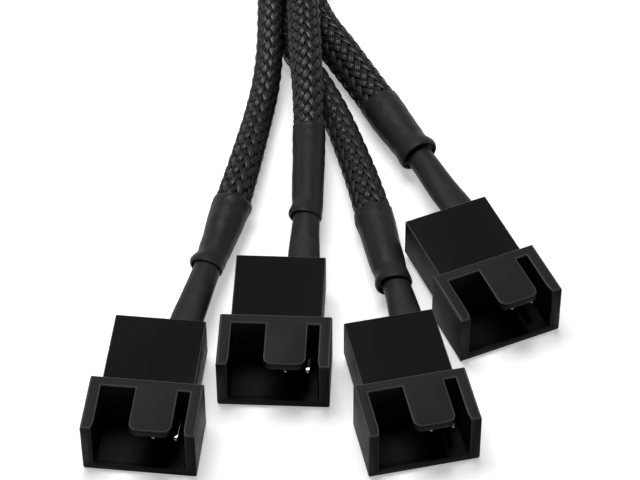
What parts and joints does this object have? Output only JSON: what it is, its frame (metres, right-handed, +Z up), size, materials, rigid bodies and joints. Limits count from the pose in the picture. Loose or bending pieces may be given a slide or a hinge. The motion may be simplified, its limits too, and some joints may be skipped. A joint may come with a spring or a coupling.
{
  "type": "fan splitter cable",
  "caption": "Black braided cable that splits one fan plug to several shrouded male fan sockets, joined in a heat-shrunk boot.",
  "frame": {"origin": "on the table under the middle of the four sockets", "axes": "+X to the right along the row of sockets, +Y from the sockets towards the plug's end, +Z up"},
  "size_m": [0.0546, 0.1973, 0.0106],
  "materials": {
    "housing_nylon": "moulded, satin",
    "contact_tin": "tin-plated, bright",
    "wire_pvc": "extruded, satin",
    "heat_shrink": "shrunk, satin",
    "braided_sleeve": "braided polyester filament",
    "tie_nylon": "moulded, satin"
  },
  "bodies": {
    "root": {"socket_housing_1": "housing_nylon", "pin_ground_1": "contact_tin", "pin_power_1": "contact_tin", "wire_ground_1": "wire_pvc", "wire_power_1": "wire_pvc", "inner_tube_1": "heat_shrink", "collar_1": "heat_shrink", "lead_sleeve_1": "braided_sleeve", "socket_housing_2": "housing_nylon", "pin_ground_2": "contact_tin", "pin_power_2": "contact_tin", "wire_ground_2": "wire_pvc", "wire_power_2": "wire_pvc", "inner_tube_2": "heat_shrink", "collar_2": "heat_shrink", "lead_sleeve_2": "braided_sleeve", "socket_housing_3": "housing_nylon", "pin_ground_3": "contact_tin", "pin_power_3": "contact_tin", "wire_ground_3": "wire_pvc", "wire_power_3": "wire_pvc", "inner_tube_3": "heat_shrink", "collar_3": "heat_shrink", "lead_sleeve_3": "braided_sleeve", "socket_housing_4": "housing_nylon", "pin_ground_4": "contact_tin", "pin_power_4": "contact_tin", "wire_ground_4": "wire_pvc", "wire_power_4": "wire_pvc", "inner_tube_4": "heat_shrink", "collar_4": "heat_shrink", "lead_sleeve_4": "braided_sleeve", "junction_boot": "heat_shrink", "trunk_sleeve": "braided_sleeve", "hank_tie": "tie_nylon", "plug_collar": "heat_shrink", "plug_inner_tube": "heat_shrink", "plug_housing": "housing_nylon", "plug_contact_ground": "contact_tin", "plug_contact_power": "contact_tin", "plug_wire_ground": "wire_pvc", "plug_wire_power": "wire_pvc"}
  },
  "joints": []
}
